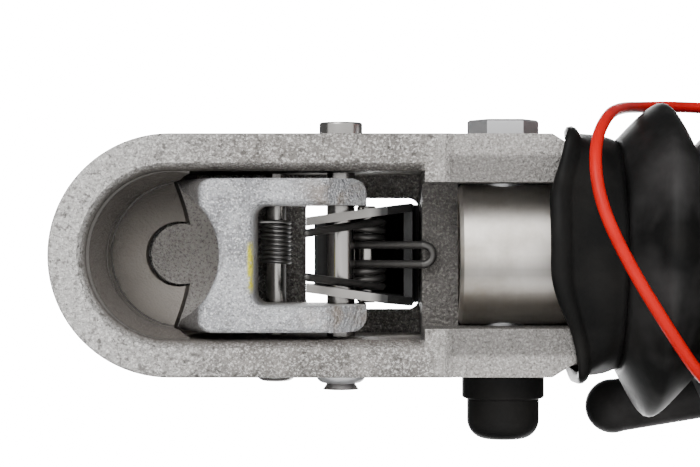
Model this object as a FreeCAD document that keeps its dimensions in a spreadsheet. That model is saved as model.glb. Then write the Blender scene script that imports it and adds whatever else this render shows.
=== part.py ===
import FreeCAD, Part
import math
import os
import Sketcher
from FreeCAD import Placement, Rotation, Vector

# Frame: millimetres, +X towards the towing car, +Y to the left, +Z up.
# The origin lies on the drawbar face, in the middle of the four bolt holes.
# Pieces of the head are drawn around the centre of the tow ball and then moved to their place.

SIZES = {
    # ball and draw axis
    "ball_dia": 50.0,
    "ball_ahead": 370.0,
    "axis_up": 78.0,
    "ball_drop": 5.0,
    "travel": 60.0,
    # coupling head
    "head_half": 41.8,
    "nose_shift": 2.7,
    "rim_drop": 28.0,
    "head_rise": 38.5,
    "head_tail": 128.0,
    "head_draft": 3.0,
    "cup_gap": 0.2,
    "throat_half": 25.9,
    "mouth_half": 29.8,
    "mouth_deep": 19.0,
    "pocket_half": 29.0,
    "pocket_top": 31.4,
    "pocket_rear": 84.4,
    "opening_front": 42.5,
    "opening_half": 20.5,
    "collar_rad": 39.5,
    "collar_end": 150.0,
    "shoulder": 97.0,
    "sill_drop": 1.0,
    "boss_out": 41.5,
    # pins of the head
    "pivot_back": 55.6,
    "pivot_rise": 5.0,
    "pivot_dia": 10.0,
    "catch_back": 32.0,
    "catch_rise": 20.0,
    "catch_dia": 7.6,
    "bolt_back": 113.3,
    "bolt_dia": 14.0,
    "spot_out": 39.0,
    # ball clamp
    "clamp_half": 26.4,
    "clamp_reach": 58.0,
    "clamp_gap": 1.2,
    "jaw_drop": 29.0,
    "clamp_top": 30.4,
    "window_front": 25.5,
    "window_half": 17.3,
    "arm_top": 14.0,
    "eye_rad": 9.0,
    "tongue_rad": 11.0,
    "tongue_ahead": 2.5,
    "tongue_room": 0.9,
    "seat_gap": 0.6,
    "relief_shift": 10.9,
    # handle and its spring
    "sheet_thick": 3.0,
    "plate_front_half": 12.7,
    "plate_rear_half": 18.2,
    "spring_pin_back": 64.8,
    "spring_pin_rise": 13.8,
    "spring_pin_dia": 7.0,
    "spring_wire": 2.9,
    "spring_mean": 11.5,
    "spring_inside": 3.4,
    "thin_wire": 1.5,
    "thin_mean": 9.6,
    # draw tube and damper
    "tube_dia": 50.0,
    "tube_wall": 5.0,
    "tube_rear": 104.0,
    "damper_pin_back": 58.0,
    "damper_pin_dia": 12.0,
    "damper_dia": 30.0,
    "rod_dia": 12.0,
    # housing
    "barrel_rad": 37.0,
    "barrel_nose": 36.0,
    "barrel_front": 104.0,
    "barrel_step": 82.0,
    "barrel_rear": 96.0,
    "bush_rad": 29.0,
    "front_bush_long": 36.0,
    "rear_bush_long": 20.0,
    "web_inside": 27.0,
    "web_outside": 36.8,
    "foot_long": 170.0,
    "foot_out": 78.0,
    "foot_thick": 11.0,
    "bolt_gap_long": 120.0,
    "bolt_gap_wide": 114.0,
    "bolt_hole_dia": 14.5,
    # bellows
    "fold_count": 4.0,
    "fold_rad": 58.3,
    "valley_rad": 40.5,
    "rubber": 2.2,
    "fold_gap": 3.0,
    "fold_rear": 106.0,
    # overrun lever
    "lever_arm": 62.0,
    "roller_rad": 8.0,
    "roller_gap": 0.9,
    "lever_fall": 62.0,
    "shaft_dia": 20.0,
    "rod_arm": 50.0,
    "rod_hole_dia": 10.2,
    # handbrake
    "lever_inner": 47.0,
    "lever_thick": 6.0,
    "grip_dia": 20.0,
    "grip_side": 50.0,
    "grip_rise": 46.0,
    "grip_bend": 165.0,
    "grip_tip": 222.5,
    "grip_splay": 9.4,
    "sector_rad": 62.0,
    "sector_thick": 4.0,
    "tooth_pitch": 7.0,
    # breakaway cable
    "cable_dia": 4.2,
}

# Middle line of the breakaway cable, from the handbrake lever to the snap hook.
CABLE_ROUTE = [
    (-73, -57.5, 36),
    (-20, -58.5, 38),
    (36, -60, 45),
    (90, -61.5, 53),
    (140, -61.5, 57),
    (172, -56.5, 53),
    (192, -43, 36),
    (207, -23, 22),
    (221, -1, 17),
    (229.5, 19, 21),
    (230, 37, 30),
    (223, 48.5, 50),
    (214, 52.5, 80),
    (204, 54, 104),
    (190, 55, 115),
    (168, 54, 119.5),
    (140, 51, 119),
    (106, 47, 117),
    (62, 41.5, 113),
    (22, 38, 112),
]


class Size:
    """A size worked out from the sheet: its value now, and the expression that keeps it bound."""

    def __init__(self, value, text):
        self.value = float(value)
        self.text = text

    def __add__(self, other):
        return joined(self, "+", other)

    def __radd__(self, other):
        return joined(other, "+", self)

    def __sub__(self, other):
        return joined(self, "-", other)

    def __rsub__(self, other):
        return joined(other, "-", self)

    def __mul__(self, other):
        return joined(self, "*", other)

    def __rmul__(self, other):
        return joined(other, "*", self)

    def __truediv__(self, other):
        return joined(self, "/", other)

    def __neg__(self):
        return joined(0.0, "-", self)


def as_size(number):
    if isinstance(number, Size):
        return number
    return Size(number, "(%.6f)" % number)


def joined(left, sign, right):
    left = as_size(left)
    right = as_size(right)
    if sign == "+":
        value = left.value + right.value
    elif sign == "-":
        value = left.value - right.value
    elif sign == "*":
        value = left.value * right.value
    else:
        value = left.value / right.value
    return Size(value, "(%s %s %s)" % (left.text, sign, right.text))


def root(size):
    return Size(math.sqrt(size.value), "sqrt(%s)" % size.text)


class Sheet:
    """Every driving size as a named cell of one spreadsheet."""

    def __init__(self, document, sizes):
        self.cells = document.addObject("Spreadsheet::Sheet", "Sizes")
        for row, (name, value) in enumerate(sizes.items(), start=1):
            self.cells.set("A%d" % row, name)
            self.cells.set("B%d" % row, str(value))
            self.cells.setAlias("B%d" % row, name)
            setattr(self, name, Size(value, "Sizes." + name))
        document.recompute()


doc = FreeCAD.newDocument("coupling")
d = Sheet(doc, SIZES)
PIECES = []

# Turns that lay a solid drawn along +Z along another axis.
ALONG = {
    "X": Rotation(Vector(0, 1, 0), 90),
    "Y": Rotation(Vector(1, 0, 0), -90),
    "Z": Rotation(),
}

ball_up = d.axis_up - d.ball_drop
BALL = (d.ball_ahead, 0, ball_up)


def bind(thing, prop, size):
    thing.setExpression(prop, as_size(size).text)


def put(thing, at, turn=None):
    """Move an object to a place given by three sizes."""
    base = Vector(*[as_size(part).value for part in at])
    thing.Placement = Placement(base, turn or Rotation())
    for letter, part in zip("xyz", at):
        bind(thing, "Placement.Base." + letter, part)


def keep(thing, label):
    """Name an object after the file it is written to and list it as a piece."""
    thing.Label = label
    PIECES.append(thing)
    return thing


def body(label, at=(0, 0, 0), turn=None):
    thing = doc.addObject("PartDesign::Body", label)
    put(thing, at, turn)
    return keep(thing, label)


def own(thing, role):
    return [part for part in thing.Origin.OriginFeatures if part.Role == role][0]


def draw(sketch, points, arcs=None):
    """Closed outline through points; arcs gives, for a side's number, its centre and turning sense."""
    arcs = arcs or {}
    first = sketch.GeometryCount
    flat = [Vector(as_size(x).value, as_size(y).value, 0) for x, y in points]
    ends = []
    for side, start in enumerate(flat):
        stop = flat[(side + 1) % len(flat)]
        if side not in arcs:
            sketch.addGeometry(Part.LineSegment(start, stop))
            ends.append((1, 2))
            continue
        x, y, sense = arcs[side]
        centre = Vector(as_size(x).value, as_size(y).value, 0)
        begin, finish = (start, stop) if sense > 0 else (stop, start)
        angles = [math.atan2(p.y - centre.y, p.x - centre.x) for p in (begin, finish)]
        circle = Part.Circle(centre, Vector(0, 0, 1), (begin - centre).Length)
        sketch.addGeometry(Part.ArcOfCircle(circle, angles[0], angles[1]))
        ends.append((1, 2) if sense > 0 else (2, 1))
    for side in range(len(flat)):
        after = (side + 1) % len(flat)
        pair = Sketcher.Constraint("Coincident", first + side, ends[side][1], first + after, ends[after][0])
        sketch.addConstraint(pair)
    for side, (x, y) in enumerate(points):
        fix(sketch, "DistanceX", first + side, ends[side][0], x)
        fix(sketch, "DistanceY", first + side, ends[side][0], y)
    for side, (x, y, sense) in arcs.items():
        chord = flat[(side + 1) % len(flat)] - flat[side]
        if abs(chord.y) > abs(chord.x):
            fix(sketch, "DistanceX", first + side, 3, x)
        else:
            fix(sketch, "DistanceY", first + side, 3, y)


def fix(sketch, kind, side, end, size):
    size = as_size(size)
    number = sketch.addConstraint(Sketcher.Constraint(kind, -1, 1, side, end, size.value))
    sketch.setExpression("Constraints[%d]" % number, size.text)


def outline(thing, name, plane, points, arcs=None):
    """Sketch on one of a body's own planes."""
    sketch = thing.newObject("Sketcher::SketchObject", name)
    sketch.AttachmentSupport = [(own(thing, plane), "")]
    sketch.MapMode = "FlatFace"
    draw(sketch, points, arcs)
    doc.recompute()
    return sketch


def pad(thing, sketch, length, side="Symmetric", draft=None):
    feature = thing.newObject("PartDesign::Pad", sketch.Name + "_pad")
    feature.Profile = sketch
    feature.SideType = side
    bind(feature, "Length", length)
    if draft is not None:
        bind(feature, "TaperAngle", draft)
    doc.recompute()
    return feature


def pocket(thing, sketch, length, side="Symmetric", draft=None):
    feature = thing.newObject("PartDesign::Pocket", sketch.Name + "_pocket")
    feature.Profile = sketch
    feature.SideType = side
    feature.Reversed = side != "Symmetric"
    bind(feature, "Length", length)
    if draft is not None:
        bind(feature, "TaperAngle", draft)
    doc.recompute()
    return feature


def revolve(thing, sketch, role):
    feature = thing.newObject("PartDesign::Revolution", sketch.Name + "_turned")
    feature.Profile = sketch
    feature.ReferenceAxis = (own(thing, role), [""])
    feature.Angle = 360
    doc.recompute()
    return feature


def solid(thing, kind, name, at, axis="Z", **sizes):
    """Additive or subtractive primitive of a body."""
    feature = thing.newObject("PartDesign::" + kind, name)
    for prop, size in sizes.items():
        bind(feature, prop, size)
    put(feature, at, ALONG[axis])
    doc.recompute()
    return feature


def rod(thing, name, rad, start, stop, at, axis, cut=False):
    """Round bar or hole along one axis, from start to stop on it."""
    place = list(at)
    place["XYZ".index(axis)] = start
    kind = "SubtractiveCylinder" if cut else "AdditiveCylinder"
    return solid(thing, kind, name, place, axis, Radius=rad, Height=as_size(stop) - start)


def block(thing, name, low, high, cut=False):
    """Rectangular block or cut between two corners."""
    long, wide, tall = [as_size(b) - a for a, b in zip(low, high)]
    kind = "SubtractiveBox" if cut else "AdditiveBox"
    return solid(thing, kind, name, low, Length=long, Width=wide, Height=tall)


def soften(thing, rad, test, kind="Fillet"):
    """Round, or chamfer, the edges of a body that pass a test of their place."""
    base = thing.Tip
    names = ["Edge%d" % number for number, edge in enumerate(base.Shape.Edges, start=1) if test(edge)]
    feature = thing.newObject("PartDesign::" + kind, thing.Name + "_" + kind.lower())
    feature.Base = (base, names)
    bind(feature, "Radius" if kind == "Fillet" else "Size", rad)
    doc.recompute()
    return feature


def upright(edge, x, y, near=0.3):
    """True for a straight edge along Z that stands at x, y."""
    box = edge.BoundBox
    thin = box.XLength < near and box.YLength < near and box.ZLength > near
    return thin and abs(box.XMin - x) < near and abs(box.YMin - y) < near


def level(edge, z, near=0.05):
    box = edge.BoundBox
    return abs(box.ZMin - z) < near and abs(box.ZMax - z) < near


def bar(name, rad, long, at, axis):
    """Free standing round bar for use in a boolean."""
    thing = doc.addObject("Part::Cylinder", name)
    bind(thing, "Radius", rad)
    bind(thing, "Height", long)
    put(thing, at, ALONG[axis])
    return thing


def slab(name, points, width, at):
    """Outline in the XZ plane, thickened evenly to both sides."""
    sketch = doc.addObject("Sketcher::SketchObject", name + "_line")
    draw(sketch, points)
    thing = doc.addObject("Part::Extrusion", name)
    thing.Base = sketch
    thing.DirMode = "Normal"
    thing.Solid = True
    thing.Symmetric = True
    bind(thing, "LengthFwd", width)
    put(sketch, at, Rotation(Vector(1, 0, 0), 90))
    return thing


def fused(name, things):
    thing = doc.addObject("Part::MultiFuse", name)
    thing.Shapes = things
    thing.Refine = True
    return thing


def less(name, base, tool):
    thing = doc.addObject("Part::Cut", name)
    thing.Base = base
    thing.Tool = tool
    thing.Refine = True
    return thing


# Coupling head
# A drafted casting with the ball cup in the nose, a pocket for the clamp behind it and a
# channel over the draw tube at the rear, where a round collar carries the bellows.
head = body("coupling_head", BALL)
nose = d.nose_shift
tail = -d.head_tail
plan = outline(head, "head_plan", "XY_Plane", [
    (nose, d.head_half), (tail, d.head_half), (tail - 8, d.head_half - 5),
    (tail - 8, -d.head_half + 5), (tail, -d.head_half), (nose, -d.head_half),
], {5: (nose, 0, 1)})
plan.AttachmentOffset = Placement(Vector(0, 0, -d.rim_drop.value), Rotation())
bind(plan, "AttachmentOffset.Base.z", -d.rim_drop)
pad(head, plan, d.rim_drop + d.head_rise, "One side", -d.head_draft)
soften(head, 15.0, lambda edge: level(edge, d.head_rise.value) and edge.BoundBox.XMax > tail.value + 1)
rod(head, "tail_collar", d.collar_rad, -d.collar_end, tail + 4, (0, 0, d.ball_drop), "X")
rod(head, "pivot_boss_left", 11.0, 30, d.boss_out, (-d.pivot_back, 0, d.pivot_rise), "Y")
rod(head, "pivot_boss_right", 11.0, -d.boss_out, -30, (-d.pivot_back, 0, d.pivot_rise), "Y")
rod(head, "catch_boss", 9.0, -d.boss_out, -30, (-d.catch_back, 0, d.catch_rise), "Y")
cup_rad = d.ball_dia / 2 + d.cup_gap
solid(head, "SubtractiveSphere", "cup", (0, 0, 0), Radius=cup_rad)
rod(head, "throat", d.throat_half, -d.rim_drop - 1, 0, (0, 0, 0), "Z", cut=True)
mouth_at = (d.nose_shift * 0.7, 0, -d.rim_drop)
solid(head, "SubtractiveCone", "mouth", mouth_at, Radius1=d.mouth_half,
      Radius2=d.throat_half - 1.5, Height=d.mouth_deep)
swing = d.clamp_reach + d.clamp_gap
below = d.rim_drop + 1
side_cut = outline(head, "clamp_pocket", "XZ_Plane", [
    (root(swing * swing - (below + d.pivot_rise) * (below + d.pivot_rise)) - d.pivot_back, -below),
    (root(swing * swing - (d.pocket_top - d.pivot_rise) * (d.pocket_top - d.pivot_rise)) - d.pivot_back,
     d.pocket_top),
    (-d.pocket_rear, d.pocket_top),
    (-d.pocket_rear, -below),
], {0: (-d.pivot_back, d.pivot_rise, 1)})
pocket(head, side_cut, d.pocket_half * 2)
block(head, "roof_opening", (-d.pocket_rear, -d.opening_half, 0),
      (-d.opening_front, d.opening_half, d.head_rise + 1), cut=True)
soften(head, 4.0, lambda edge: any(
    upright(edge, x, y) and edge.BoundBox.ZMin > d.pocket_top.value - 1
    for x in (-d.pocket_rear.value, -d.opening_front.value)
    for y in (-d.opening_half.value, d.opening_half.value)))
recess_at = (d.tongue_ahead + d.tongue_room, 0, 0)
rod(head, "tongue_recess", d.tongue_rad + d.tongue_room, 0, d.pocket_top, recess_at, "Z", cut=True)
channel = d.tube_dia / 2 + 0.05
rod(head, "tube_seat", channel, -d.collar_end - 1, -d.shoulder, (0, 0, d.ball_drop), "X", cut=True)
block(head, "tube_channel", (-d.collar_end - 1, -channel, -50), (-d.shoulder, channel, d.ball_drop), cut=True)
block(head, "sill_cut", (-d.shoulder, -channel, -50), (-d.pocket_rear + 1, channel, -d.sill_drop), cut=True)
rear_step = outline(head, "rear_step", "XZ_Plane", [
    (-d.shoulder + 7, -below), (-d.shoulder + 3, -d.rim_drop + 2.5),
    (-d.collar_end - 2, -d.rim_drop + 2.5), (-d.collar_end - 2, -below - 12),
])
pocket(head, rear_step, d.head_half * 3)
rod(head, "pivot_hole", d.pivot_dia / 2 + 0.02, -60, 60, (-d.pivot_back, 0, d.pivot_rise), "Y", cut=True)
rod(head, "catch_hole", d.catch_dia / 2 + 0.02, -60, 60, (-d.catch_back, 0, d.catch_rise), "Y", cut=True)
rod(head, "bolt_hole", d.bolt_dia / 2 + 0.15, -60, 60, (-d.bolt_back, 0, d.ball_drop), "Y", cut=True)
rod(head, "bolt_spot_left", 15.0, d.spot_out, 60, (-d.bolt_back, 0, d.ball_drop), "Y", cut=True)
rod(head, "bolt_spot_right", 16.0, -60, -d.spot_out, (-d.bolt_back, 0, d.ball_drop), "Y", cut=True)
flare = d.pocket_half + 2.6
rim_flare = outline(head, "rim_flare", "XY_Plane", [
    (nose, flare), (-d.pocket_rear, flare), (-d.pocket_rear, -flare), (nose, -flare),
], {3: (nose, 0, 1)})
rim_flare.AttachmentOffset = Placement(Vector(0, 0, -d.rim_drop.value), Rotation())
bind(rim_flare, "AttachmentOffset.Base.z", -d.rim_drop)
pocket(head, rim_flare, 4.2, "One side", -33)
soften(head, 1.6, lambda edge: level(edge, -d.rim_drop.value)
       and max(edge.BoundBox.YMax, -edge.BoundBox.YMin) > d.head_half.value - 0.1
       and edge.BoundBox.XMin > -d.shoulder.value + 3 and edge.BoundBox.XLength > 30)
block(head, "cast_bar", (-71.5, 32.4, -d.rim_drop - 0.5), (-70.1, 39.4, -d.rim_drop + 1))
for number, x in enumerate((-100.7, -106.1)):
    rod(head, "cast_pip_%d" % number, 1.0, -d.rim_drop + 2.0, -d.rim_drop + 4.0, (x, -36.2, 0), "Z")

# Ball clamp
# Jaw casting that closes the rear half of the ball cup. Its front is round about the pivot pin,
# so that it clears the head while it swings; the tongue above the ball trips it shut.
clamp = body("ball_clamp", BALL)
reach = d.clamp_reach
eye = d.eye_rad
arm_bottom = -d.jaw_drop
side_view = outline(clamp, "clamp_side", "XZ_Plane", [
    (root(reach * reach - (d.jaw_drop + d.pivot_rise) * (d.jaw_drop + d.pivot_rise)) - d.pivot_back,
     arm_bottom),
    (root(reach * reach - (d.clamp_top - d.pivot_rise) * (d.clamp_top - d.pivot_rise)) - d.pivot_back,
     d.clamp_top),
    (-d.window_front + 4, d.clamp_top),
    (-d.window_front - 3, d.arm_top),
    (-d.pivot_back, d.pivot_rise + eye),
    (-d.pivot_back - eye, d.pivot_rise),
    (-d.pivot_back - eye, d.pivot_rise - 17),
    (-d.pivot_back + 5, arm_bottom),
], {0: (-d.pivot_back, d.pivot_rise, 1), 4: (-d.pivot_back, d.pivot_rise, 1)})
pad(clamp, side_view, d.clamp_half * 2)
rod(clamp, "tongue", d.tongue_rad, 14, d.clamp_top - 5, (d.tongue_ahead, 0, 0), "Z")
solid(clamp, "AdditiveCone", "tongue_top", (d.tongue_ahead, 0, d.clamp_top - 5),
      Radius1=d.tongue_rad, Radius2=d.tongue_rad - 4, Height=5.0)
solid(clamp, "SubtractiveSphere", "ball_seat", (0, 0, 0), Radius=d.ball_dia / 2 + d.seat_gap)
rod(clamp, "neck_relief", d.ball_dia / 2, -50, -12, (d.relief_shift, 0, 0), "Z", cut=True)
block(clamp, "window", (-80, -d.window_half, -50), (-d.window_front, d.window_half, 50), cut=True)
soften(clamp, 4.0, lambda edge: any(
    upright(edge, -d.window_front.value, sign * d.window_half.value) for sign in (-1, 1))
       or (edge.BoundBox.YLength < 0.01 and abs(abs(edge.BoundBox.YMin) - d.clamp_half.value) < 0.01
           and edge.BoundBox.XMin > -12))
arm_end = -d.pivot_back - eye
soften(clamp, 5.0, lambda edge: any(
    upright(edge, arm_end.value, sign * d.clamp_half.value) for sign in (-1, 1)))
pin_axis = (-d.pivot_back, 0, d.pivot_rise)
rod(clamp, "clamp_pivot_hole", d.pivot_dia / 2 + 0.05, -60, 60, pin_axis, "Y", cut=True)
soften(clamp, 2.2, lambda edge: level(edge, arm_bottom.value))

# Pins of the head
# The pivot pin carries clamp and handle; the catch pin carries the thin spring. Both are plain
# bars with a round head on one side.
pivot = body("pivot_pin", (d.ball_ahead - d.pivot_back, 0, ball_up + d.pivot_rise))
rod(pivot, "pivot_bar", d.pivot_dia / 2, -d.boss_out - 4.2, d.boss_out, (0, 0, 0), "Y")
rod(pivot, "pivot_head", 7.7, d.boss_out, d.boss_out + 5.5, (0, 0, 0), "Y")
solid(pivot, "AdditiveCone", "pivot_peened", (0, -d.boss_out - 6.4, 0), "Y",
      Radius1=6.5, Radius2=5.0, Height=2.2)
soften(pivot, 0.8, lambda edge: abs(edge.BoundBox.YMin - d.boss_out.value - 5.5) < 0.01)
washer = body("pivot_washer", (d.ball_ahead - d.pivot_back, 0, ball_up + d.pivot_rise))
rod(washer, "washer_disc", 8.8, -d.boss_out - 4.2, -d.boss_out, (0, 0, 0), "Y")
soften(washer, 3.0, lambda edge: abs(edge.BoundBox.YMax + d.boss_out.value + 4.2) < 0.01)
rod(washer, "washer_hole", d.pivot_dia / 2 + 0.02, -60, 0, (0, 0, 0), "Y", cut=True)

catch = body("catch_pin", (d.ball_ahead - d.catch_back, 0, ball_up + d.catch_rise))
rod(catch, "catch_bar", d.catch_dia / 2, -d.boss_out, d.boss_out - 3, (0, 0, 0), "Y")
rod(catch, "catch_head", 7.4, -d.boss_out - 4.6, -d.boss_out, (0, 0, 0), "Y")
soften(catch, 3.4, lambda edge: abs(edge.BoundBox.YMax + d.boss_out.value + 4.6) < 0.01)


# Springs
# Each is a helix with straight ends, made of one wire size; the pieces of wire overlap a little.
def wire_run(start, stop, rad):
    """Straight wire with round ends."""
    run = Part.makeCylinder(rad, (stop - start).Length, start, stop - start)
    return run.fuse([Part.makeSphere(rad, start), Part.makeSphere(rad, stop)])


def coil(centre, rad, wire_rad, first, turns, pitch):
    """Helix about Y through centre, from angle first (degrees from +X to +Z), running towards +Y."""
    helix = Part.makeHelix(pitch, pitch * turns, rad)
    spin = Rotation(Vector(0, 0, 1), -first)
    lay = Rotation(Vector(1, 0, 0), -90).multiply(spin)
    mirrored = helix.mirror(Vector(0, 0, 0), Vector(0, 1, 0))
    path = Part.Wire(mirrored.Edges)
    section = Part.Wire(Part.makeCircle(wire_rad, Vector(rad, 0, 0), Vector(0, 1, 0)))
    tube = path.makePipeShell([section], True, True)
    tube.Placement = Placement(centre, lay)
    return tube


def ring_point(centre, rad, angle, y):
    turn = math.radians(angle)
    return Vector(centre.x + rad * math.cos(turn), y, centre.z + rad * math.sin(turn))


def feature(label, shape, at):
    thing = doc.addObject("Part::Feature", label)
    thing.Shape = shape
    put(thing, at)
    return keep(thing, label)


def thin_spring():
    rad = d.thin_mean.value / 2
    wire = d.thin_wire.value / 2
    pitch = d.thin_wire.value * 1.06
    turns = 9.25
    low = -3.0
    high = low + pitch * turns
    centre = Vector(-d.catch_back.value, low, d.catch_rise.value)
    winding = coil(centre, rad, wire, 180, turns, pitch)
    top = Vector(centre.x - rad, low, d.pocket_top.value - wire - 0.3)
    up_leg = wire_run(Vector(centre.x - rad, low, centre.z), top, wire)
    under = Vector(centre.x, high, centre.z - rad)
    ahead = Vector(-d.window_front.value - wire - 0.4, high, centre.z - rad)
    return winding.fuse([up_leg, wire_run(under, ahead, wire)])


feature("clamp_spring", thin_spring(), BALL)


def double_spring():
    """One half is wound from the loop to the leg, then mirrored across the middle plane."""
    rad = d.spring_mean.value / 2
    wire = d.spring_wire.value / 2
    inside = d.spring_inside.value
    centre = Vector(-d.spring_pin_back.value, inside, d.spring_pin_rise.value)
    pin = Vector(-d.pivot_back.value, 0, d.pivot_rise.value)
    across = math.atan2(pin.z - centre.z, pin.x - centre.x)
    gap = math.hypot(pin.z - centre.z, pin.x - centre.x)
    lean = math.asin((d.pivot_dia.value / 2 + wire + 0.15 - rad) / gap)
    leave = math.degrees(across) + 90 - math.degrees(lean) + 180
    enter = 300.0
    turns = 3 + (leave - enter) / 360.0
    pitch = d.spring_wire.value * 1.04
    outside = inside + turns * pitch
    winding = coil(centre, rad, wire, enter, turns, pitch)
    leg_start = ring_point(centre, rad, leave, outside)
    way = math.radians(leave + 90)
    leg_long = (d.opening_front.value + 1.5 + leg_start.x) / -math.cos(way)
    leg_stop = leg_start + Vector(math.cos(way) * leg_long, -4.2, math.sin(way) * leg_long)
    loop_start = ring_point(centre, rad, enter, inside)
    back = math.radians(enter - 90)
    loop_long = (d.pocket_rear.value + 3.6 - inside + loop_start.x) / -math.cos(back)
    loop_stop = loop_start + Vector(math.cos(back) * loop_long, 0, math.sin(back) * loop_long)
    bend = Part.makeTorus(inside, wire, Vector(loop_stop.x, 0, loop_stop.z), Vector(0, 0, 1))
    rear_half = Part.makeBox(40, 80, 40, Vector(loop_stop.x - 40, 0, loop_stop.z - 20))
    half = winding.fuse([
        wire_run(leg_start, leg_stop, wire),
        wire_run(loop_start, loop_stop, wire),
        bend.common(rear_half),
    ])
    return half.fuse(half.mirror(Vector(0, 0, 0), Vector(0, 1, 0)))


feature("handle_spring", double_spring(), BALL)

# Release handle
# Sheet channel: two plates that widen towards the rear, joined by a web along their upper edge
# and a second one along their rear edge.
# It turns on the pivot pin and leaves the head through the rear of the roof opening.
HANDLE_SIDE = [
    (-43.5, -8), (-72, -8), (-81, 4), (-82.5, 37), (-87, 45), (-165, 69), (-165, 84), (-84, 62),
    (-73, 50), (-65.9, 33), (-54.4, 14.5), (-46, 13.5), (-43.5, 6),
]
TOP_SIDE = [
    (-46, 13.5), (-54.4, 14.5), (-65.9, 33), (-73, 50), (-84, 62), (-165, 84),
    (-165, 82.2), (-85.2, 60.3), (-74.5, 49.4), (-67.6, 32.9), (-55.3, 12.9), (-46.4, 11.9),
]
WEB_SIDE = [
    (-81, 4), (-82.5, 37), (-87, 45), (-165, 69), (-165, 72.1), (-85.3, 47.6), (-79.6, 37.5), (-78, 5),
]
plate_outer = d.plate_front_half
plate_rear = d.plate_rear_half


def raised(name, points):
    """Plan outline of the handle, raised past its whole height."""
    sketch = doc.addObject("Sketcher::SketchObject", name + "_line")
    draw(sketch, points)
    put(sketch, (d.ball_ahead, 0, ball_up - 20))
    thing = doc.addObject("Part::Extrusion", name)
    thing.Base = sketch
    thing.DirMode = "Normal"
    thing.Solid = True
    bind(thing, "LengthFwd", 120)
    return thing


def plate(name, sign):
    return raised(name, [
        (-40, sign * (plate_outer - d.sheet_thick)), (-40, sign * plate_outer),
        (-80, sign * plate_rear), (-170, sign * plate_rear),
        (-170, sign * (plate_rear - d.sheet_thick)), (-80, sign * (plate_rear - d.sheet_thick)),
    ])


walls = fused("handle_walls", [plate("left_plate", 1.0), plate("right_plate", -1.0)])
trimmed = doc.addObject("Part::MultiCommon", "handle_trimmed")
trimmed.Shapes = [walls, slab("handle_side", HANDLE_SIDE, d.plate_rear_half * 3, BALL)]
web = slab("handle_web", WEB_SIDE, d.plate_rear_half * 2 - d.sheet_thick, BALL)
between = raised("handle_plan", [
    (-40, -plate_outer), (-40, plate_outer), (-80, plate_rear), (-170, plate_rear),
    (-170, -plate_rear), (-80, -plate_rear),
])
top_web = doc.addObject("Part::MultiCommon", "handle_top_web")
top_web.Shapes = [between, slab("handle_top", TOP_SIDE, d.plate_rear_half * 3, BALL)]
pivot_at = (d.ball_ahead - d.pivot_back, -30, ball_up + d.pivot_rise)
spring_at = (d.ball_ahead - d.spring_pin_back, -30, ball_up + d.spring_pin_rise)
handle_holes = fused("handle_holes", [
    bar("handle_pivot_hole", d.pivot_dia / 2 + 0.05, 60, pivot_at, "Y"),
    bar("handle_spring_hole", d.spring_pin_dia / 2 + 0.02, 60, spring_at, "Y"),
])
keep(less("release_handle", fused("handle_sheet", [trimmed, web, top_web]), handle_holes), "release_handle")

GRIP_SIDE = [(-91, 46.5), (-89, 66.5), (-95, 72.5), (-168, 92), (-173, 88), (-173, 71), (-168, 69.5)]
GRIP_ROOM = [(-60, 40), (-60, 50), (-72.9, 50.1), (-83.9, 62.1), (-165.1, 84.1), (-165.1, 30)]
grip = body("handle_grip", BALL)
pad(grip, outline(grip, "grip_side", "XZ_Plane", GRIP_SIDE), d.plate_rear_half * 2 + 5.6)
pocket(grip, outline(grip, "grip_room", "XZ_Plane", GRIP_ROOM), d.plate_rear_half * 2 + 0.1)
soften(grip, 2.2, lambda edge: abs(abs(edge.BoundBox.YMin) - d.plate_rear_half.value - 2.8) < 0.01
       and edge.BoundBox.YLength < 0.01 and edge.BoundBox.ZMax > 60)

spring_pin = body("spring_pin", (d.ball_ahead - d.spring_pin_back, 0, ball_up + d.spring_pin_rise))
rod(spring_pin, "spring_bar", d.spring_pin_dia / 2, -17.4, 17.4, (0, 0, 0), "Y")
soften(spring_pin, 0.6, lambda edge: edge.BoundBox.YLength < 0.01, "Chamfer")

# Draw tube with its cross bolt
# The tube slides in the housing; slots let it pass the fixed damper pin, and a notch below its
# rear end lets the arm of the overrun lever lean back.
axis = (0, 0, d.axis_up)
bolt_x = d.ball_ahead - d.bolt_back
tube = body("draw_tube", axis)
rod(tube, "tube_out", d.tube_dia / 2, -d.tube_rear, d.ball_ahead - d.shoulder - 0.1, (0, 0, 0), "X")
soften(tube, 1.2, lambda edge: edge.BoundBox.XLength < 0.01, "Chamfer")
rod(tube, "tube_in", d.tube_dia / 2 - d.tube_wall, -d.tube_rear - 1, d.ball_ahead, (0, 0, 0), "X", cut=True)
rod(tube, "tube_bolt_hole", d.bolt_dia / 2 + 0.15, -40, 40, (bolt_x, 0, 0), "Y", cut=True)
slot_half = d.damper_pin_dia / 2 + 0.5
slot_ends = (-d.damper_pin_back, -d.damper_pin_back + d.travel)
for name, x in zip(("slot_rear", "slot_front"), slot_ends):
    rod(tube, name, slot_half, -40, 40, (x, 0, 0), "Y", cut=True)
block(tube, "slot_between", (slot_ends[0], -40, -slot_half), (slot_ends[1], 40, slot_half), cut=True)
block(tube, "lever_notch", (-d.tube_rear - 1, -9.5, -30), (-d.tube_rear + 18, 9.5, -14), cut=True)


def hexagon(across):
    rad = across / math.sqrt(3.0)
    corners = []
    for step in range(6):
        turn = math.radians(60 * step)
        corners.append((rad * math.cos(turn), rad * math.sin(turn)))
    return corners


def hex_piece(thing, name, across, start, thick):
    """Hexagon across Y from start, with its outer corners turned off."""
    sketch = outline(thing, name, "XZ_Plane", hexagon(across))
    sketch.AttachmentOffset = Placement(Vector(0, 0, -as_size(start + thick / 2.0).value), Rotation())
    bind(sketch, "AttachmentOffset.Base.z", -(as_size(start) + thick / 2.0))
    return pad(thing, sketch, thick)


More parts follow.
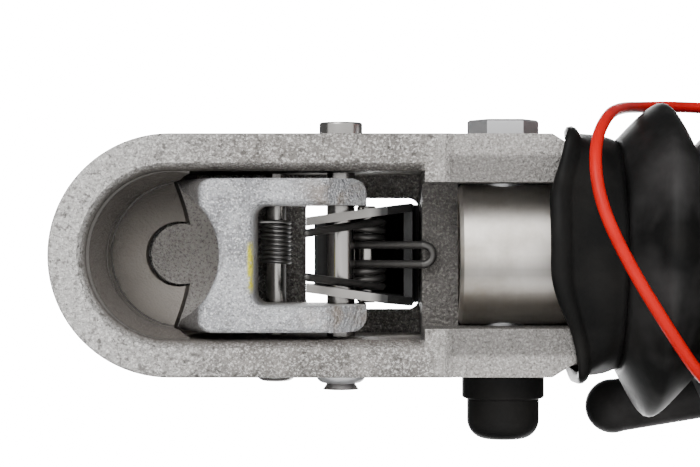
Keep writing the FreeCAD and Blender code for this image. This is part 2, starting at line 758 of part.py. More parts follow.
tube_bolt = body("tube_bolt", (bolt_x, 0, d.axis_up))
hex_piece(tube_bolt, "bolt_head", 22.0, d.spot_out, 8.8)
rod(tube_bolt, "bolt_shank", d.bolt_dia / 2, -d.spot_out - 15, d.spot_out + 1, (0, 0, 0), "Y")
soften(tube_bolt, 0.7, lambda edge: abs(edge.BoundBox.YMin - d.spot_out.value - 8.8) < 0.01, "Chamfer")
tube_nut = body("tube_nut", (bolt_x, 0, d.axis_up))
hex_piece(tube_nut, "nut_hex", 20.8, -d.spot_out - 12.8, 12.8)
rod(tube_nut, "nut_hole", d.bolt_dia / 2 + 0.02, -80, 0, (0, 0, 0), "Y", cut=True)
cap = body("nut_cap", (bolt_x, 0, d.axis_up))
rod(cap, "cap_skirt", 14.6, -d.spot_out - 12, -d.spot_out - 0.1, (0, 0, 0), "Y")
rod(cap, "cap_dome", 12.8, -d.spot_out - 26.5, -d.spot_out - 11, (0, 0, 0), "Y")
soften(cap, 7.0, lambda edge: abs(edge.BoundBox.YMax + d.spot_out.value + 26.5) < 0.01)
soften(cap, 1.0, lambda edge: abs(edge.BoundBox.YMax + d.spot_out.value + 12) < 0.01
       and edge.BoundBox.XLength > 28)
rod(cap, "cap_room", 12.3, -d.spot_out - 13.0, 0, (0, 0, 0), "Y", cut=True)
rod(cap, "cap_tip_room", d.bolt_dia / 2 + 0.2, -d.spot_out - 20, 0, (0, 0, 0), "Y", cut=True)

# Housing
# Barrel for the draw tube on two side webs with feet. The webs run on to the rear as ears for
# the lever shaft; a lug on the left takes the snap hook of the breakaway cable.
shaft_up = d.axis_up - d.lever_fall
rest_turn = d.travel.value * 1.05 / d.lever_arm.value / 2.0
shaft_x = -(d.tube_rear + d.roller_gap + d.roller_rad + d.lever_arm * math.sin(rest_turn))
SHAFT = (shaft_x, 0, shaft_up)
housing = body("housing")
rod(housing, "barrel", d.barrel_rad, -d.barrel_rear, d.barrel_step, axis, "X")
rod(housing, "barrel_nose", d.barrel_nose, 0, d.barrel_front, axis, "X")
foot_half = d.foot_long / 2
ear = 19.0
for name, sign in (("left", 1.0), ("right", -1.0)):
    web_line = outline(housing, name + "_web", "XZ_Plane", [
        (foot_half + 7, 0), (d.barrel_step - 3, d.axis_up), (-d.barrel_rear + 8, d.axis_up),
        (shaft_x + 4, shaft_up + ear), (shaft_x - ear, shaft_up + 6), (shaft_x - ear, shaft_up - 8),
        (shaft_x - 8, shaft_up - ear), (shaft_x + 14, shaft_up - ear), (-foot_half - 10, 0),
    ])
    middle = (d.web_inside + d.web_outside) / 2 * sign
    web_line.AttachmentOffset = Placement(Vector(0, 0, -middle.value), Rotation())
    bind(web_line, "AttachmentOffset.Base.z", -middle)
    pad(housing, web_line, d.web_outside - d.web_inside)
    near_side = d.web_inside * sign if sign > 0 else d.foot_out * sign
    far_side = d.foot_out * sign if sign > 0 else d.web_inside * sign
    block(housing, name + "_foot", (-foot_half, near_side, 0), (foot_half, far_side, d.foot_thick))
    for rib, x in (("rear", -24.0), ("front", 24.0)):
        rib_line = outline(housing, name + "_rib_" + rib, "YZ_Plane", [
            (sign * (d.web_outside - 2), d.foot_thick - 1), (sign * (d.foot_out - 9), d.foot_thick - 1),
            (sign * (d.web_outside - 2), d.foot_thick + 24),
        ])
        rib_line.AttachmentOffset = Placement(Vector(0, 0, x), Rotation())
        pad(housing, rib_line, 8.0)
soften(housing, 13.0, lambda edge: abs(abs(edge.BoundBox.YMin) - d.foot_out.value) < 0.05
       and edge.BoundBox.XLength < 0.05 and edge.BoundBox.YLength < 0.05)
soften(housing, 7.0, lambda edge: edge.BoundBox.XMax < shaft_x.value + 15.5 and edge.BoundBox.XLength < 0.1
       and edge.BoundBox.ZLength < 0.1)
rod(housing, "cable_lug", 12.0, 34.0, 42.0, (-45, 0, d.axis_up + 34), "Y")
block(housing, "lug_foot", (-57, 34.0, d.axis_up + 5), (-33, 42.0, d.axis_up + 34))
rod(housing, "lug_hole", 6.5, 20, 60, (-45, 0, d.axis_up + 34), "Y", cut=True)
rod(housing, "core", d.bush_rad + 1, -d.barrel_rear + d.rear_bush_long + 2,
    d.barrel_front - d.front_bush_long - 2, axis, "X", cut=True)
rod(housing, "bush_seat", d.bush_rad, -d.barrel_rear - 1, d.barrel_front + 1, axis, "X", cut=True)
SECTOR_BOLTS = ((20.0, 24.0), (31.0, 6.0))
for number, (x, z) in enumerate(SECTOR_BOLTS):
    rod(housing, "sector_tap_%d" % number, 4.02, -60, 0, (shaft_x + x, 0, shaft_up + z), "Y", cut=True)
rod(housing, "shaft_hole", d.shaft_dia / 2 + 0.02, -60, 60, SHAFT, "Y", cut=True)
damper_axis = (-d.damper_pin_back, 0, d.axis_up)
rod(housing, "damper_hole", d.damper_pin_dia / 2 + 0.02, -60, 60, damper_axis, "Y", cut=True)
for name, x in (("rear", -1.0), ("front", 1.0)):
    for side, y in (("right", -1.0), ("left", 1.0)):
        place = (d.bolt_gap_long / 2 * x, d.bolt_gap_wide / 2 * y, 0)
        rod(housing, "bolt_%s_%s" % (name, side), d.bolt_hole_dia / 2, -5, 30, place, "Z", cut=True)
nipple_x = (d.barrel_front - d.front_bush_long + 8, -d.barrel_rear + d.rear_bush_long / 2)
for name, x in zip(("front", "rear"), nipple_x):
    rod(housing, "nipple_hole_" + name, 3.0, d.axis_up + 20, d.axis_up + 60, (x, 0, 0), "Z", cut=True)

# Bushes, grease nipples and hose clip of the housing
for name, start, stop in (
    ("front_bush", d.barrel_front - d.front_bush_long - 2, d.barrel_front - 2),
    ("rear_bush", -d.barrel_rear + 2, -d.barrel_rear + d.rear_bush_long + 2),
):
    bush = body(name, axis)
    rod(bush, name + "_out", d.bush_rad - 0.02, start, stop, (0, 0, 0), "X")
    rod(bush, name + "_in", d.tube_dia / 2 + 0.05, -300, 300, (0, 0, 0), "X", cut=True)
    grease_x = nipple_x[0] if name == "front_bush" else nipple_x[1]
    rod(bush, name + "_grease", 2.0, 0, 60, (grease_x, 0, 0), "Z", cut=True)
for name, x in zip(("front_nipple", "rear_nipple"), nipple_x):
    nipple = body(name, (x, 0, d.axis_up))
    rod(nipple, name + "_stem", 2.95, d.bush_rad + 0.5, d.barrel_rad + 3, (0, 0, 0), "Z")
    rod(nipple, name + "_hex", 4.6, d.barrel_rad + 0.1, d.barrel_rad + 4, (0, 0, 0), "Z")
    solid(nipple, "AdditiveCone", name + "_tip", (0, 0, d.barrel_rad + 4),
          Radius1=3.2, Radius2=2.0, Height=5.0)
    solid(nipple, "AdditiveSphere", name + "_ball", (0, 0, d.barrel_rad + 10), Radius=2.6)

# Bellows
# One rubber wall in folds between the collar of the head and the nose of the barrel.
fold_count = int(d.fold_count.value)
head_grip_x = d.ball_ahead - d.collar_end
fold_front = head_grip_x - d.fold_gap
fold_pitch = (fold_front - d.fold_rear) / fold_count
seat = d.collar_rad + 0.05
rear_seat = d.barrel_nose + 0.05
lip_front = d.ball_ahead - d.head_tail - 8.4
outside = [(lip_front, seat + d.rubber + 3), (lip_front - 4, seat + d.rubber + 3),
           (lip_front - 5, seat + d.rubber)]
inside_line = [(lip_front, seat), (head_grip_x - 1, seat)]
for fold in range(fold_count):
    start = fold_front - fold_pitch * fold
    low = d.valley_rad
    outside.append((start, low))
    outside.append((start - fold_pitch / 2, d.fold_rad))
    inside_line.append((start, low - d.rubber * 1.2))
    inside_line.append((start - fold_pitch / 2, d.fold_rad - d.rubber * 1.5))
outside.append((d.fold_rear, d.valley_rad))
outside.append((d.barrel_front - 3, rear_seat + d.rubber))
outside.append((d.barrel_front - 20, rear_seat + d.rubber))
inside_line.append((d.fold_rear, d.valley_rad - d.rubber * 1.2))
inside_line.append((d.barrel_front + 1, rear_seat))
inside_line.append((d.barrel_front - 20, rear_seat))
bellows = body("bellows", axis)
bellows_line = outline(bellows, "bellows_wall", "XZ_Plane", outside + inside_line[::-1])
revolve(bellows, bellows_line, "X_Axis")
soften(bellows, 4.5, lambda edge: edge.BoundBox.XLength < 0.01
       and abs(edge.BoundBox.ZMax - d.fold_rad.value) < 0.05)
clip = body("bellows_clip", (d.barrel_front - 15, 0, d.axis_up))
rod(clip, "clip_band", rear_seat + d.rubber + 1.0, 0, 9, (0, 0, 0), "X")
block(clip, "clip_screw", (-1, -7, rear_seat + d.rubber), (10, 7, rear_seat + d.rubber + 8))
rod(clip, "clip_room", rear_seat + d.rubber + 0.02, -5, 20, (0, 0, 0), "X", cut=True)

# Damper inside the tube
# The rod hangs on the cross bolt and slides in the cylinder, which a pin holds in the housing.
damper_front = 143.0
rod_piece = body("damper_rod", axis)
rod(rod_piece, "damper_eye", 13.0, -12, 12, (bolt_x, 0, 0), "Y")
rod(rod_piece, "damper_bar", d.rod_dia / 2, 62, bolt_x - 8, (0, 0, 0), "X")
rod(rod_piece, "damper_eye_hole", d.bolt_dia / 2 + 0.05, -40, 40, (bolt_x, 0, 0), "Y", cut=True)
piston = body("damper_piston", axis)
rod(piston, "piston_disc", d.damper_dia / 2 - 2.55, 66, 82, (0, 0, 0), "X")
rod(piston, "piston_hole", d.rod_dia / 2 + 0.02, 0, 200, (0, 0, 0), "X", cut=True)
cylinder = body("damper_cylinder", axis)
rod(cylinder, "cylinder_out", d.damper_dia / 2, -d.damper_pin_back, damper_front, (0, 0, 0), "X")
rod(cylinder, "cylinder_eye", 14.0, -13, 13, (-d.damper_pin_back, 0, 0), "Y")
rod(cylinder, "cylinder_in", d.damper_dia / 2 - 2.5, -18, damper_front + 1, (0, 0, 0), "X", cut=True)
eye_at = (-d.damper_pin_back, 0, 0)
rod(cylinder, "cylinder_eye_hole", d.damper_pin_dia / 2 + 0.02, -40, 40, eye_at, "Y", cut=True)
gland = body("damper_gland", axis)
rod(gland, "gland_plug", d.damper_dia / 2 - 2.52, damper_front - 12, damper_front, (0, 0, 0), "X")
rod(gland, "gland_hole", d.rod_dia / 2 + 0.05, 0, 300, (0, 0, 0), "X", cut=True)
damper_pin = body("damper_pin", (-d.damper_pin_back, 0, d.axis_up))
rod(damper_pin, "damper_pin_bar", d.damper_pin_dia / 2, -39.5, 39.5, (0, 0, 0), "Y")
soften(damper_pin, 1.0, lambda edge: edge.BoundBox.YLength < 0.01, "Chamfer")

# Overrun lever
# The roller on the upper arm waits behind the end of the draw tube; the lower arm pulls the
# brake rod. Drawn upright about the shaft, then turned to its place of rest.
lean = Rotation(Vector(0, 1, 0), math.degrees(rest_turn))
lever = body("overrun_lever", SHAFT, lean)
lever_line = outline(lever, "lever_side", "XZ_Plane", [
    (-9, d.lever_arm - 4), (-15, 0), (-11, -d.rod_arm), (11, -d.rod_arm), (15, 0), (9, d.lever_arm - 4),
], {2: (0, -d.rod_arm, 1), 5: (0, d.lever_arm - 4, 1)})
pad(lever, lever_line, 16.0)
rod(lever, "lever_hub", 17.0, -d.web_inside + 0.5, d.web_inside - 0.5, (0, 0, 0), "Y")
block(lever, "roller_room", (-20, -6, d.lever_arm - 14), (20, 6, d.lever_arm + 20), cut=True)
rod(lever, "lever_shaft_hole", d.shaft_dia / 2 + 0.05, -60, 60, (0, 0, 0), "Y", cut=True)
rod(lever, "rod_hole", d.rod_hole_dia / 2, -60, 60, (0, 0, -d.rod_arm), "Y", cut=True)
rod(lever, "roller_pin_hole", 3.02, -60, 60, (0, 0, d.lever_arm), "Y", cut=True)
roller_pin = body("roller_pin", SHAFT, lean)
rod(roller_pin, "roller_bar", 3.0, -23, 23, (0, 0, d.lever_arm), "Y")
for name, start, stop in (("left_roller", 8.3, 22.5), ("right_roller", -22.5, -8.3)):
    roller = body(name, SHAFT, lean)
    rod(roller, name + "_rim", d.roller_rad, start, stop, (0, 0, d.lever_arm), "Y")
    rod(roller, name + "_hole", 3.03, -60, 60, (0, 0, d.lever_arm), "Y", cut=True)
    soften(roller, 1.2, lambda edge: edge.BoundBox.XLength > 12 and edge.BoundBox.YLength < 0.01)

shaft = body("lever_shaft", SHAFT)
shaft_right = -d.lever_inner - d.lever_thick - 5
shaft_left = d.web_outside + 5
rod(shaft, "shaft_bar", d.shaft_dia / 2, shaft_right, shaft_left, (0, 0, 0), "Y")
soften(shaft, 1.2, lambda edge: edge.BoundBox.YLength < 0.01, "Chamfer")
circlip_starts = {"left_circlip": d.web_outside + 0.2, "right_circlip": -d.lever_inner - d.lever_thick - 2.0}
for name, start in circlip_starts.items():
    circlip = body(name, SHAFT)
    rod(circlip, name + "_ring", d.shaft_dia / 2 + 4, start, start + 1.6, (0, 0, 0), "Y")
    rod(circlip, name + "_hole", d.shaft_dia / 2 + 0.02, -80, 80, (0, 0, 0), "Y", cut=True)
    block(circlip, name + "_gap", (-20, -80, -2.5), (0, 80, 2.5), cut=True)

# Ratchet of the handbrake
# A toothed sector bolted to the right ear; the pawl hangs on the lever and rides over the teeth.
sector_face = d.web_outside
sector = body("ratchet_sector", SHAFT)
FIRST_ANGLE = 5.0
LAST_ANGLE = 122.0


def around(rad, angle):
    turn = math.radians(angle)
    return (rad * math.cos(turn), rad * math.sin(turn))


sector_middle = -(sector_face + d.sector_thick / 2)
wedge = outline(sector, "sector_wedge", "XZ_Plane", [
    (0, 0), around(d.sector_rad, FIRST_ANGLE), around(d.sector_rad, LAST_ANGLE),
], {1: (0, 0, 1)})
notches = sector.newObject("Sketcher::SketchObject", "sector_teeth")
notches.AttachmentSupport = [(own(sector, "XZ_Plane"), "")]
notches.MapMode = "FlatFace"
tooth_count = int((LAST_ANGLE - 34.0) / d.tooth_pitch.value)
for tooth in range(tooth_count):
    angle = 30.0 + tooth * d.tooth_pitch.value
    draw(notches, [
        around(d.sector_rad - 4.5, angle),
        around(d.sector_rad + 2.0, angle + 0.5),
        around(d.sector_rad + 2.0, angle + d.tooth_pitch.value - 1.0),
    ])
for sketch in (wedge, notches):
    sketch.AttachmentOffset = Placement(Vector(0, 0, -sector_middle.value), Rotation())
    bind(sketch, "AttachmentOffset.Base.z", -sector_middle)
doc.recompute()
pad(sector, wedge, d.sector_thick)
pocket(sector, notches, d.sector_thick * 2)
rod(sector, "sector_hub", 19.0, -sector_face - d.sector_thick, -sector_face, (0, 0, 0), "Y")
rod(sector, "sector_hole", d.shaft_dia / 2 + 0.05, -80, 80, (0, 0, 0), "Y", cut=True)
for number, (x, z) in enumerate(SECTOR_BOLTS):
    rod(sector, "sector_bolt_hole_%d" % number, 4.1, -80, 80, (x, 0, z), "Y", cut=True)
    screw = body("sector_bolt_%d" % (number + 1), (shaft_x + x, 0, shaft_up + z))
    hex_piece(screw, "screw_head_%d" % number, 13.0, -sector_face - d.sector_thick - 5.3, 5.3)
    shank_end = -sector_face - d.sector_thick - 1
    rod(screw, "screw_shank_%d" % number, 4.0, shank_end, -d.web_inside - 1, (0, 0, 0), "Y")

# Handbrake lever
# Flat plate on the lever shaft that rises past the barrel, with a tube and rubber grip at its end.
lever_outer = -(d.lever_inner + d.lever_thick)
lever_middle = -(d.lever_inner + d.lever_thick / 2)
grip_up = d.axis_up + d.grip_rise
tip_up = grip_up - shaft_up
tip_reach = d.barrel_front - shaft_x
handbrake = body("handbrake_lever", SHAFT)
lever_plan = outline(handbrake, "handbrake_side", "XZ_Plane", [
    (5, -14), (tip_reach - 32, tip_up - 15), (tip_reach - 12, tip_up - 6), (tip_reach + 12, tip_up - 6),
    (tip_reach + 12, tip_up + 6), (tip_reach - 12, tip_up + 6), (tip_reach - 40, tip_up + 11), (-8, 13),
])
lever_plan.AttachmentOffset = Placement(Vector(0, 0, -lever_middle.value), Rotation())
bind(lever_plan, "AttachmentOffset.Base.z", -lever_middle)
pad(handbrake, lever_plan, d.lever_thick)
rod(handbrake, "handbrake_hub", 20.0, lever_outer, -d.lever_inner, (0, 0, 0), "Y")
rod(handbrake, "handbrake_hole", d.shaft_dia / 2 + 0.05, -80, 80, (0, 0, 0), "Y", cut=True)
PAWL_AT = around(d.sector_rad + 22.0, 28.0)
STUD_AT = (50.0, 20.0)
rod(handbrake, "pawl_hole", 4.02, -80, 0, (PAWL_AT[0], 0, PAWL_AT[1]), "Y", cut=True)
rod(handbrake, "stud_hole", 4.02, -80, 0, (STUD_AT[0], 0, STUD_AT[1]), "Y", cut=True)
soften(handbrake, 1.2, lambda edge: edge.BoundBox.YLength < 0.01 and edge.BoundBox.XLength > 60)
spacer = body("lever_spacer", SHAFT)
rod(spacer, "spacer_ring", 14.0, -d.lever_inner, -sector_face - d.sector_thick - 0.3, (0, 0, 0), "Y")
rod(spacer, "spacer_hole", d.shaft_dia / 2 + 0.05, -80, 80, (0, 0, 0), "Y", cut=True)


def bent_bar(name, rad, start):
    """Bar along the grip: straight to the bend, then splayed outwards to the tip."""
    y = lever_middle
    straight = bar(name + "_straight", rad, d.grip_bend - start, (start, y, grip_up), "X")
    knee = doc.addObject("Part::Sphere", name + "_knee")
    bind(knee, "Radius", rad)
    put(knee, (d.grip_bend, y, grip_up))
    splay = Rotation(Vector(0, 0, 1), -d.grip_splay.value).multiply(ALONG["X"])
    end = doc.addObject("Part::Cylinder", name + "_end")
    bind(end, "Radius", rad)
    bind(end, "Height", d.grip_tip - d.grip_bend - d.grip_dia / 2)
    put(end, (d.grip_bend, y, grip_up), splay)
    return [straight, knee, end]


def grip_dome():
    run = d.grip_tip - d.grip_bend - d.grip_dia / 2
    turn = math.radians(d.grip_splay.value)
    dome = doc.addObject("Part::Sphere", "grip_dome")
    bind(dome, "Radius", d.grip_dia / 2 + 0.25)
    put(dome, (d.grip_bend + run * math.cos(turn), lever_middle - run * math.sin(turn), grip_up))
    return dome


tube_rad = d.grip_dia / 2 - 1.5
bar_start = d.barrel_front - 12
tube_solid = fused("lever_tube_solid", bent_bar("lever_tube_outer", tube_rad, bar_start))
tube_room = fused("lever_tube_room", bent_bar("lever_tube_inner", tube_rad - 1.6, bar_start - 20))
keep(less("handbrake_tube", tube_solid, tube_room), "handbrake_tube")
grip_start = d.barrel_front + 6
grip_solid = fused("grip_solid", bent_bar("grip_outer", d.grip_dia / 2, grip_start) + [grip_dome()])
grip_room = fused("grip_tube_room", bent_bar("grip_inner", tube_rad + 0.02, bar_start - 20))
keep(less("handbrake_grip", grip_solid, grip_room), "handbrake_grip")

pawl_place = (shaft_x + PAWL_AT[0], 0, shaft_up + PAWL_AT[1])
pawl_back = -sector_face - d.sector_thick
pawl = body("ratchet_pawl", pawl_place)
PAWL_SIDE = [(3, -7), (-15, -5.6), (-24.8, -0.4), (-22, 4), (-2, 8), (16, 14), (19, 9)]
pawl_line = outline(pawl, "pawl_side", "XZ_Plane", PAWL_SIDE)
pawl_middle = -(sector_face + d.sector_thick / 2)
pawl_line.AttachmentOffset = Placement(Vector(0, 0, -pawl_middle.value), Rotation())
bind(pawl_line, "AttachmentOffset.Base.z", -pawl_middle)
pad(pawl, pawl_line, d.sector_thick - 1.0)
rod(pawl, "pawl_bore", 4.05, -80, 0, (0, 0, 0), "Y", cut=True)
pawl_pin = body("pawl_pin", pawl_place)
rod(pawl_pin, "pawl_pin_bar", 4.0, lever_outer - 0.5, -sector_face - 0.3, (0, 0, 0), "Y")
rod(pawl_pin, "pawl_pin_collar", 6.5, -d.lever_inner, pawl_back - 0.3, (0, 0, 0), "Y")

# Breakaway cable
# A stud on the handbrake lever holds the eye of the cable; the other end is crimped to a snap
# hook in the lug of the housing. The cable itself is straight runs joined by tangent arcs.
stud_place = (shaft_x + STUD_AT[0], 0, shaft_up + STUD_AT[1])
stud = body("cable_stud", stud_place)
rod(stud, "stud_bar", 4.0, lever_outer - 9, -d.lever_inner - 0.5, (0, 0, 0), "Y")
rod(stud, "stud_head", 6.5, lever_outer - 11, lever_outer - 8.2, (0, 0, 0), "Y")
cable_eye = body("cable_eye", stud_place)
start_x = CABLE_ROUTE[0][0]
rod(cable_eye, "eye_ring", 8.0, lever_outer - 7.0, lever_outer - 2.0, (0, 0, 0), "Y")
rod(cable_eye, "eye_barrel", 3.4, 5, start_x - 0.3 - shaft_x - STUD_AT[0], (0, lever_outer - 4.5, 0), "X")
rod(cable_eye, "eye_hole", 4.1, -80, 0, (0, 0, 0), "Y", cut=True)
end_x, end_y, end_z = CABLE_ROUTE[-1]
ferrule = body("cable_ferrule", (end_x, end_y, end_z))
rod(ferrule, "ferrule_sleeve", 3.6, -16, 0, (0, 0, 0), "X")


def snap_hook():
    """Long wire ring in the level plane, through the lug of the housing."""
    wire = 2.6
    half = 10.5
    hook_front = end_x - 16 - wire - half
    hook_rear = -45.0 + half
    rear_bend = Part.makeTorus(half, wire, Vector(hook_rear, end_y, end_z), Vector(0, 0, 1))
    front_bend = Part.makeTorus(half, wire, Vector(hook_front, end_y, end_z), Vector(0, 0, 1))
    behind = Part.makeBox(60, 80, 40, Vector(hook_rear - 60, end_y - 40, end_z - 20))
    before = Part.makeBox(60, 80, 40, Vector(hook_front, end_y - 40, end_z - 20))
    along = Vector(hook_front - hook_rear, 0, 0)
    sides = []
    for sign in (-1, 1):
        foot = Vector(hook_rear, end_y + sign * half, end_z)
        sides.append(Part.makeCylinder(wire, along.x, foot, along))
    return rear_bend.common(behind).fuse([front_bend.common(before)] + sides)


feature("snap_hook", snap_hook(), (0, 0, 0))


def cable():
    points = [Vector(*point) for point in CABLE_ROUTE]
    edges = []
    last = points[0]
    radii = []
    for before, here, after in zip(points, points[1:], points[2:]):
        first = (before - here).normalize()
        second = (after - here).normalize()
        turn = math.pi - first.getAngle(second)
        cut = 0.45 * min((before - here).Length, (after - here).Length)
        rad = cut / math.tan(turn / 2)
        middle = here + (first + second).normalize() * (rad / math.cos(turn / 2) - rad)
        edges.append(Part.LineSegment(last, here + first * cut).toShape())
        edges.append(Part.Arc(here + first * cut, middle, here + second * cut).toShape())
        last = here + second * cut
        radii.append(rad)
    edges.append(Part.LineSegment(last, points[-1]).toShape())
    path = Part.Wire(edges)
    print("cable radii", " ".join("%.0f" % rad for rad in radii), "length %.0f" % path.Length)
    way = points[1] - points[0]
    section = Part.Wire(Part.makeCircle(d.cable_dia.value / 2, points[0], way))
    return path.makePipeShell([section], True, False)


feature("breakaway_cable", cable(), (0, 0, 0))

# Check every object, then write one file for each piece
doc.recompute()
for thing in doc.Objects:
    if "Invalid" in thing.State or "Error" in thing.State:
        raise RuntimeError("object not built: " + thing.Label)
os.makedirs("parts", exist_ok=True)
for thing in PIECES:
    shape = thing.Shape
    if shape.isNull() or not shape.isValid() or len(shape.Solids) != 1:
        raise RuntimeError("piece not sound: " + thing.Label)
    shape.exportStep("parts/%s.step" % thing.Label)
print(len(PIECES), "pieces written")
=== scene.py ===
import math
import bpy
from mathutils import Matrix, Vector, noise


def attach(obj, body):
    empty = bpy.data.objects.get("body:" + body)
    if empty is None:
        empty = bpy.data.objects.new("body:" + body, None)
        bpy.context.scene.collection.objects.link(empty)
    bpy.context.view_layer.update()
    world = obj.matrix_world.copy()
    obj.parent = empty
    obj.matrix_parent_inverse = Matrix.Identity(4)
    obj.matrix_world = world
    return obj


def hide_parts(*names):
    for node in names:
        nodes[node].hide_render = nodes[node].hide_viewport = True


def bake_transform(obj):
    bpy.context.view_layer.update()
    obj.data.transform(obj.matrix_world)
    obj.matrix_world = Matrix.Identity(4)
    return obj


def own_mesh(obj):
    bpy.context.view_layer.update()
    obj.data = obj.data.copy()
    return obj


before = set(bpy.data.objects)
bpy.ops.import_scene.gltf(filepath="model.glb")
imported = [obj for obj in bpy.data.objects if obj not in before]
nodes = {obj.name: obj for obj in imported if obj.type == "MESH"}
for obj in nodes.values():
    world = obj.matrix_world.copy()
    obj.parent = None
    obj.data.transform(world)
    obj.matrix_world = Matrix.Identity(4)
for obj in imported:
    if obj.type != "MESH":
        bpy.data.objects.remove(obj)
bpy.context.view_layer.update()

# Camera, light and floor
# The photograph looks straight up at the underside, nose to the left, with a long lens.
# The world is dim and even with a white field straight above, which is the background of this
# view; a large key lamp stands on the left side and two weaker ones fill in.
MM = 0.001
BALL_X = 370 * MM
AXIS_Z = 78 * MM
RIM_Z = 45 * MM
PHOTO_WIDE = 700
PIXELS_PER_M = 2940.0
VIEW_DEPTH = 0.700
SENSOR = 36.0
# Pixels from the centre of the ball to the middle of the picture.
MIDDLE_REAR = 173
MIDDLE_LEFT = 22
camera_data = bpy.data.cameras.new("camera")
camera = bpy.data.objects.new("camera", camera_data)
bpy.context.scene.collection.objects.link(camera)
camera_data.sensor_width = SENSOR
camera_data.lens = SENSOR * VIEW_DEPTH * PIXELS_PER_M / PHOTO_WIDE
camera_data.clip_start = 0.01
camera.location = (BALL_X - MIDDLE_REAR / PIXELS_PER_M, MIDDLE_LEFT / PIXELS_PER_M, RIM_Z - VIEW_DEPTH)
camera.rotation_euler = (0, math.pi, 0)
bpy.context.scene.camera = camera

SKY_DIM = 0.26
SKY_WHITE = 20.0
world = bpy.data.worlds.new("world")
world.use_nodes = True
sky = world.node_tree
sky.nodes["Background"].inputs["Color"].default_value = (1, 1, 1, 1)
sky_way = sky.nodes.new("ShaderNodeTexCoord")
sky_parts = sky.nodes.new("ShaderNodeSeparateXYZ")
sky_field = sky.nodes.new("ShaderNodeMapRange")
sky_field.inputs["From Min"].default_value = 0.935
sky_field.inputs["From Max"].default_value = 0.968
sky_field.inputs["To Min"].default_value = SKY_DIM
sky_field.inputs["To Max"].default_value = SKY_WHITE
sky.links.new(sky_way.outputs["Generated"], sky_parts.inputs["Vector"])
sky.links.new(sky_parts.outputs["Z"], sky_field.inputs["Value"])
sky.links.new(sky_field.outputs["Result"], sky.nodes["Background"].inputs["Strength"])
bpy.context.scene.world = world


def lamp(name, place, target, size, power):
    """Square lamp that faces a target."""
    data = bpy.data.lights.new(name, "AREA")
    data.size = size
    data.energy = power
    thing = bpy.data.objects.new(name, data)
    bpy.context.scene.collection.objects.link(thing)
    thing.location = place
    way = Vector(target) - Vector(place)
    thing.rotation_euler = way.to_track_quat("-Z", "Y").to_euler()


MIDDLE = (0.27, 0, 0.07)
lamp("key", (0.60, 0.64, -0.64), MIDDLE, 0.6, 12)
lamp("fill", (0.30, -0.35, -0.85), MIDDLE, 0.5, 2.2)
lamp("top", (0.1, -0.7, 1.4), MIDDLE, 1.2, 20)

bpy.ops.object.select_all(action="DESELECT")
bpy.ops.mesh.primitive_plane_add(size=8, location=(0, 0, -1.0))
floor = bpy.context.object
floor.name = "floor"


